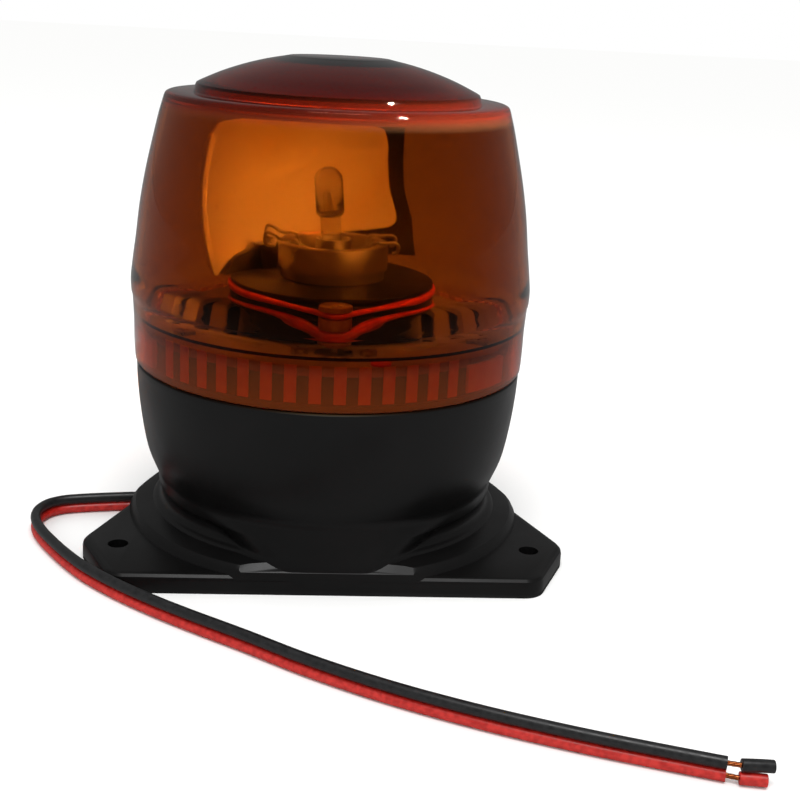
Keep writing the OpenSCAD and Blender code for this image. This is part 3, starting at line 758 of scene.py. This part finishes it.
# %% Rotor and drive
refined("rotor", "rotor", "black_plastic", BLACK_NYLON, 0.15, 40)
refined("stem_tube", "base", "steel", STEEL, 0.1, 40)
for name in ("rotor_thrust_washer", "rotor_retainer", "deck_screws", "motor_screws"):
    refined(name, "base", "steel", STEEL, 0.1, 40)
refined("motor_can", "base", "steel", STEEL, 0.2, 40)
refined("reflector_screws", "rotor", "steel", STEEL, 0.1, 40)
refined("motor_shaft", "motor_rotor", "steel", STEEL)
refined("motor_pulley", "motor_rotor", "brass", BRASS, 0.1, 40)
refined("motor_armature", "motor_rotor", "copper", WINDING)
refined("motor_magnets", "base", "ferrite", FERRITE)
refined("motor_endcap", "base", "black_plastic", BLACK_NYLON, 0.15, 40)
for name in ("motor_terminals", "bulb_terminal"):
    refined(name, "base", "brass", BRASS)
refined("suppressor_capacitor", "base", "orange_plastic", ORANGE_PLUG)
refined("lead_red", "base", "red_pvc", RED_PVC)
refined("lead_black", "base", "black_pvc", BLACK_PVC)

# %% [markdown]
# Two round belts of soft orange-red urethane run in the grooves. A belt is an arc on each pulley
# and two straight runs that touch both, so its centre line can be worked out from the two radii
# and the distance between the shafts. Urethane is smooth and a little translucent at the edge.

# %% Belts
MOTOR_Y, BIG_R, SMALL_R, BELT_R = -38.2, 28.3, 3.25, 0.95
belt_finish, tree, shader = finish_named("urethane_belt_red", "#E0401A", 0.3, IOR=1.5,
                                         Subsurface_Weight=0.15, Subsurface_Scale=0.8 * MM)
tree.links.new(tint(tree, noise_in(tree, 0.3).outputs["Fac"], "#C92F10", "#F04A1C"),
               shader.inputs["Base Color"])
wrap = math.degrees(math.acos((BIG_R - SMALL_R) / -MOTOR_Y))
for name, z in (("drive_belt_upper", 72.2), ("drive_belt_lower", 67.9)):
    line = [(*polar(BIG_R, wrap - 90 + (360 - 2 * wrap) * i / 90), z) for i in range(91)]
    for i in range(25):
        x, y = polar(SMALL_R, -90 - wrap + 2 * wrap * i / 24)
        line.append((x, y + MOTOR_Y, z))
    belt = make_object(name + "_shape", *tube(line, BELT_R, 16, closed=True), belt_finish, 60)
    stands_for(belt, "base", "belt_rubber", name)
print("belt wrap in degrees:", round(wrap, 1))

# %% [markdown]
# The reflector is vacuum-plated plastic: a piece of a paraboloid whose focus is the filament, cut
# to a lopsided outline, with a narrow raised strip on its left edge. Rings of points shrink the
# outline towards the middle, and each point is lifted onto the paraboloid, so the edge is clean
# and the dish needs no cut.

# %% Reflector
FOCUS_Z, FOCAL, FACING = 95.0, 26.0, -60.0
plated, tree, shader = finish_named("plastic_vacuum_plated", "#EDEBE6", 0.16, Metallic=0.65)
tree.links.new(vary(tree, noise_in(tree, 0.08, 4).outputs["Fac"], 0.1, 0.22),
               shader.inputs["Roughness"])
bump_from(tree, shader, noise_in(tree, 0.035, 2).outputs["Fac"], 0.25, 0.3)
TO_ROW = Matrix.Translation((0, 0, FOCUS_Z)) @ Matrix.Rotation(math.radians(FACING), 4, "Z")


def dish_x(u, w):
    return (u * u + w * w) / (4 * FOCAL) - FOCAL


def on_dish(u, w, d):
    """The point at offset d in front of the paraboloid."""
    return TO_ROW @ Vector((dish_x(u, w) + d, u, w))


def left_u(w):
    return 0.0068 * w * w - 33.5


left_edge = [(left_u(w), w) for w in [17 - 1.5 * i for i in range(25)]]
low_edge = [(-30.3, -20.8), (-29.3, -21.2), (-28.7, -20.9)] + [tuple(p) for p in flow(
    [(-26, -19.1), (-22.6, -17.5), (-14, -16.3), (0, -14.7), (14, -13.3)], 3)]
right_edge = [tuple(p) for p in flow([(26, -12.0), (30.2, -11.0), (31.9, -8.6), (31.2, -4),
                                      (30.1, 0), (28.9, 9), (28.1, 14), (24.6, 18.2),
                                      (14, 19.4)], 5)]
OUTLINE = left_edge + low_edge + right_edge + [(0, 20.5), (-20, 20.8), (-28.3, 20)]
# Rings from the middle out to the outline on the front, round the edge, and back in behind
RINGS = ([(0.04 + 0.95 * k / 26, 0) for k in range(27)] + [(0.997, -0.08), (1.0, -0.35), (1.0, -1.3)]
         + [(0.99 - 0.95 * k / 26, -1.6) for k in range(27)])
n = len(OUTLINE)
verts = [on_dish(u * t, w * t, d) for t, d in RINGS for u, w in OUTLINE]
faces = [(r * n + k, r * n + (k + 1) % n, (r + 1) * n + (k + 1) % n, (r + 1) * n + k)
         for r in range(len(RINGS) - 1) for k in range(n)]
faces += [tuple(range(n))[::-1], tuple((len(RINGS) - 1) * n + k for k in range(n))]
shell = make_object("shell", verts, faces, plated, 35)
verts = [on_dish(u + du, w, d) for u, w in left_edge
         for du, d in ((0.05, -0.8), (0.05, 0.45), (0.3, 0.7), (2.0, 0.7), (2.3, 0.4), (2.3, -0.8))]
faces = [(6 * r + k, 6 * r + (k + 1) % 6, 6 * (r + 1) + (k + 1) % 6, 6 * (r + 1) + k)
         for r in range(len(left_edge) - 1) for k in range(6)]
faces += [tuple(range(6))[::-1], tuple(6 * (len(left_edge) - 1) + k for k in range(6))]
strip = make_object("strip", verts, faces, plated, 35)
reflector = merged("reflector_shape", [shell, strip])
stands_for(reflector, "rotor", "reflector_chrome", "reflector")
print("reflector faces:", len(reflector.data.polygons))

# %% [markdown]
# The bulb sits in a plated ring. The ring and the bulb's steel base are turned parts with small
# rounded edges. A spring wire holds the bulb down: one wire follows a bent line over the base and
# out through the ring on both sides, so a tube along a smooth path makes it.

# %% Bulb holder and clip
ring = [(4.2, 77.4), (12.4, 77.4), (12.4, 74.6), (14.5, 74.6), (14.5, 77.4), (15.35, 77.4),
        (15.35, 83.8), (15.2, 84.1), (14.9, 84.2), (12.8, 84.2), (12.5, 84.05), (12.4, 83.8),
        (12.4, 79), (4.2, 79)]
holder = make_object("bulb_ring", *lathe(ring, 128), PLATED, 35)
stands_for(holder, "base", "plated_steel", "bulb_holder")
refined("bulb_base", "base", "plated_steel", PLATED, 0.15, 40)
BENDS = [(-16.6, 83.4), (-18.2, 83.5), (-19, 84.3), (-19, 86.3), (-18.2, 87), (-16.4, 86.4),
         (-14.4, 85.1), (-10.4, 84.9), (-7.5, 80.6), (7.5, 80.6), (10.4, 84.9), (13.4, 85),
         (16.6, 85.2), (17.8, 84.4), (17.6, 82.7), (16.2, 82.2)]
right_arm = [(x, -5.6, z) for x, z in reversed(BENDS)]
left_arm = [(x, 5.6, z) for x, z in BENDS]
wire_line = flow(right_arm + [(-16.5, -4.6, 83.4), (-16.5, 4.6, 83.4)] + left_arm, 3)
clip = make_object("clip_wire", *tube(wire_line, 0.49, 12), STEEL, 60)
stands_for(clip, "base", "steel", "bulb_clip")

# %% [markdown]
# The halogen bulb is a quartz tube, pinched flat at its foot, with a tungsten coil on two
# supports. It leans a little in its holder. The glass has a real wall, so it refracts as a tube
# does; the pinch is a solid block of quartz.

# %% Bulb glass
quartz, tree, shader = finish_named("quartz_glass_drawn", "#F4F4F4", 0.02, IOR=1.458,
                                    Transmission_Weight=1.0)
bump_from(tree, shader, noise_in(tree, 0.2, 2).outputs["Fac"], 0.02, 0.3)
lit_through(tree, shader, 0.97)
LEAN = (Matrix.Translation((0, 0, 78.5)) @ Matrix.Rotation(math.radians(-5), 4, "Y")
        @ Matrix.Translation((0, 0, -78.5)))


def leaning(shape):
    verts, faces = shape
    return [LEAN @ Vector(v) for v in verts], faces


glass_line = ([(0, 90.9), (2.2, 91.0)] + flow([(3.3, 91.3), (3.95, 92.2), (4, 94), (4, 101)], 3)
              + flow([(3.9, 102), (3.3, 103.3), (2.2, 104.35), (1.0, 104.9)], 3) + [(0, 105.0)])
hollow = ([(0, 104.4)] + flow([(1.0, 104.3), (2.3, 103.6), (3.3, 102)], 2)
          + [(3.5, 101), (3.5, 93), (2.8, 92.0), (0, 91.7)])
glass = make_object("bulb_quartz", *leaning(lathe([tuple(p) for p in glass_line], 64)), quartz, 40)
pinch_2d = rounded_outline([((-2.8, -1.4), 0.8), ((2.8, -1.4), 0.8), ((2.8, 1.4), 0.8),
                            ((-2.8, 1.4), 0.8)], 4)
pinch = make_object("pinch", *leaning(prism(pinch_2d, 81.2, 91.4)), quartz, 40)
cut(glass, pinch, "UNION")
cut(glass, make_object("hollow", *leaning(lathe([tuple(p) for p in hollow], 64)), quartz, 40))
smooth(glass, 35)
stands_for(glass, "base", "bulb_glass", "bulb_glass")

# %% Filament coil and its supports
COIL_R, COIL_LOW, COIL_LENGTH, COIL_TURNS, PER_TURN = 0.55, 92.5, 5.0, 11, 10
coil = [(*polar(COIL_R, 360 * t / PER_TURN), COIL_LOW + COIL_LENGTH * t / (COIL_TURNS * PER_TURN))
        for t in range(COIL_TURNS * PER_TURN + 1)]
supports = [[(-1.6, 0, 91.9), (-1.6, 0, 97.0), (-1.3, 0, 97.5), (0.1, 0, 97.5)],
            [(1.4, 0, 91.9), (1.4, 0, 92.3), (1.1, 0, 92.6), (0.3, 0, 92.6)]]
filament = make_object("filament_coil", *leaning(joined(
    tube(coil, 0.13, 8), *[tube(s, 0.2, 10) for s in supports])), TUNGSTEN, 60)
stands_for(filament, "base", "steel", "bulb_filament")

# %% [markdown]
# A studio: a pale floor that runs far back, a soft even sky, one wide soft panel above the front
# and one narrow beam that goes through the cover onto the reflector. Floor and sky look darker to
# a mirrored ray, so the cover keeps its deep colour and the black plastic stays black.

# %% Floor, sky and lights
def mirrored(tree):
    """One for a ray that a surface has mirrored, none for one seen directly or through plastic."""
    path = add(tree, "ShaderNodeLightPath")
    only = add(tree, "ShaderNodeMath", {"operation": "SUBTRACT", "use_clamp": True}, {
        0: path.outputs["Is Glossy Ray"], 1: path.outputs["Is Transmission Ray"]})
    return only.outputs["Value"]


pale, tree, shader = finish_named("floor_paper_white", "#FCFCFB", 0.9, Specular_IOR_Level=0.0)
tree.links.new(tint(tree, mirrored(tree), "#FCFCFB", "#8C8C8C"), shader.inputs["Base Color"])
floor_mesh = make_object("floor", *box_shape((-3000, -2500, -3), (3000, 5000, -0.02)), pale)

world = bpy.data.worlds.new("studio")
world.use_nodes = True
sky = world.node_tree.nodes["Background"]
sky.inputs["Color"].default_value = (1, 1, 1, 1)
dimmed = add(world.node_tree, "ShaderNodeMapRange", inputs={
    "Value": mirrored(world.node_tree), "To Min": 1.0, "To Max": 0.2})
world.node_tree.links.new(dimmed.outputs["Result"], sky.inputs["Strength"])
bpy.context.scene.world = world


def panel(name, place, aim, width, height, watts, spread=180):
    """A rectangular light, with place, aim and size in millimetres and spread in degrees."""
    data = bpy.data.lights.new(name, "AREA")
    data.shape, data.size, data.size_y = "RECTANGLE", width * MM, height * MM
    data.energy, data.spread = watts, math.radians(spread)
    lamp = bpy.data.objects.new(name, data)
    bpy.context.scene.collection.objects.link(lamp)
    lamp.location = Vector(place) * MM
    lamp.rotation_mode = "QUATERNION"
    lamp.rotation_quaternion = (Vector(aim) - Vector(place)).to_track_quat("-Z", "Y")


panel("top_panel", place=(0, -360, 860), aim=(0, 0, 60), width=420, height=300, watts=3.6)
panel("dish_beam", place=(330, -330, 450), aim=(-10, 18, 96), width=60, height=60, watts=0.13,
      spread=7)

# %% CAD nodes still shown
for name in nodes:
    if not nodes[name].hide_render:
        print("shown as packed:", name)
